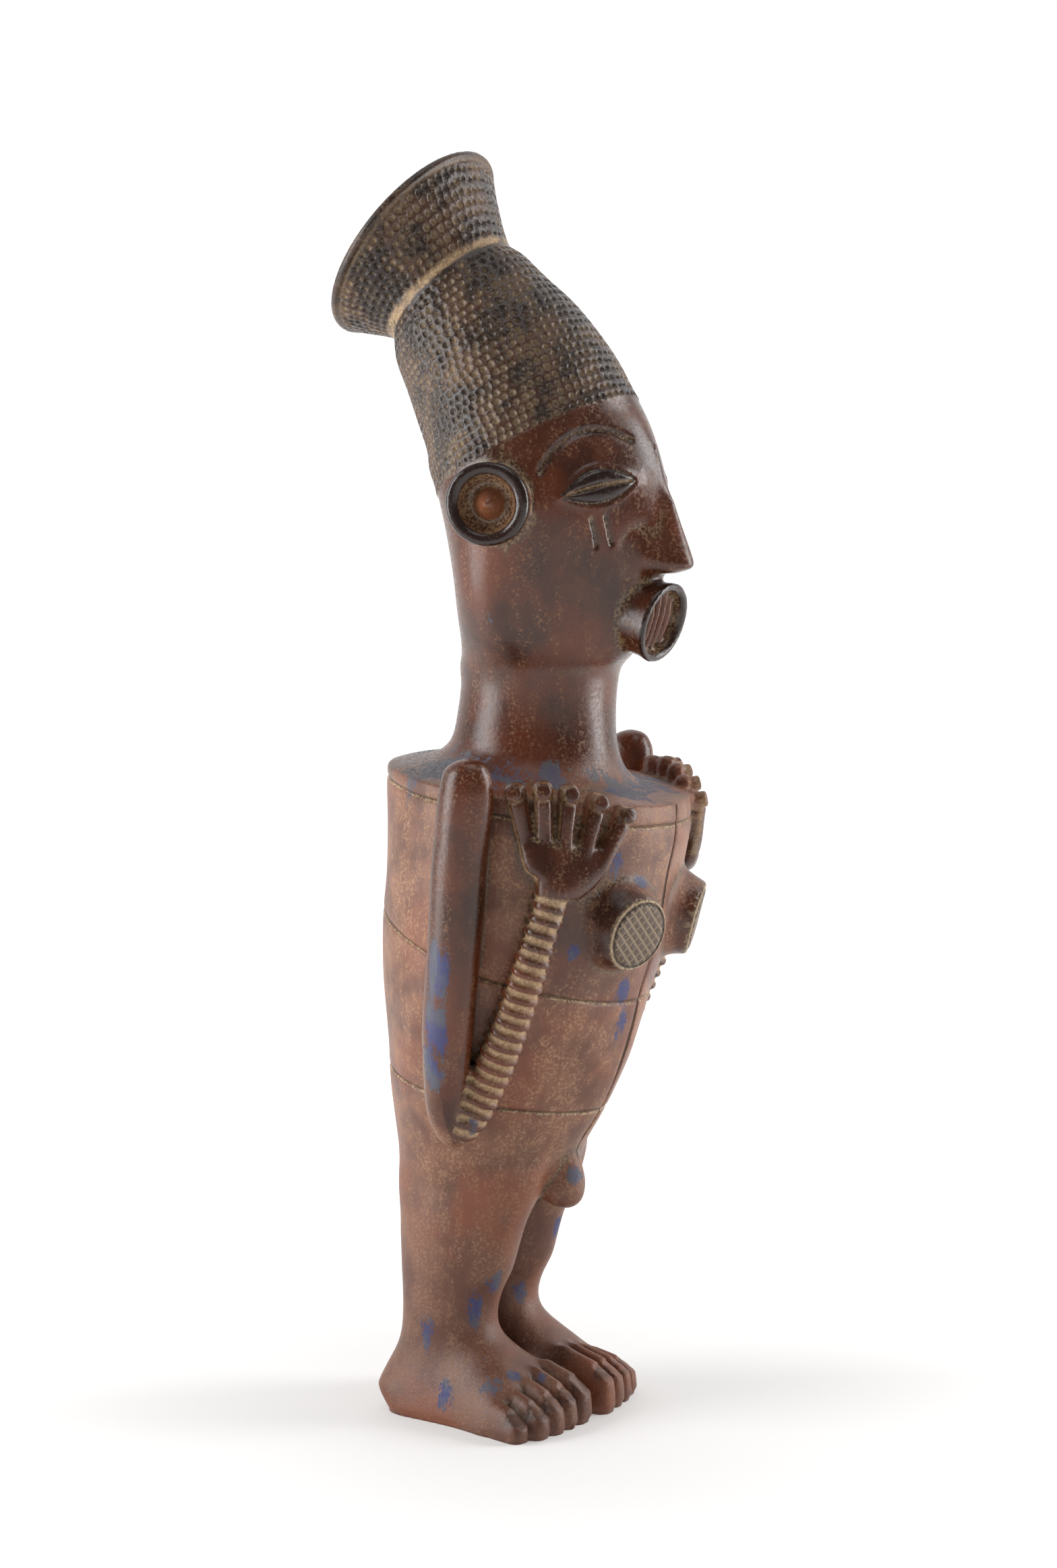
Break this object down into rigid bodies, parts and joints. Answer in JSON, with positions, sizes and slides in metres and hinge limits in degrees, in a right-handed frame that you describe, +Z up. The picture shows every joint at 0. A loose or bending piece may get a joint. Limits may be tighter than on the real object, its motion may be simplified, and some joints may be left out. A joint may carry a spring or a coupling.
{
  "type": "terracotta figure",
  "caption": "Standing fired-clay figure with a barrel torso, bent arms, raised hands, disc ears and a tall dimpled coiffure that flares backwards.",
  "frame": {"origin": "on the ground, under the middle of the figure's whole outline", "axes": "+Z up along the figure's height, the figure looks along -Y, its own right side is -X"},
  "size_m": [0.16, 0.1498, 0.4999],
  "materials": {
    "terracotta": "burnished brown terracotta with dusty wear, black-brown coiffure, dark rings and traces of blue paint"
  },
  "bodies": {
    "root": {"terracotta_figure": "terracotta"}
  },
  "joints": []
}
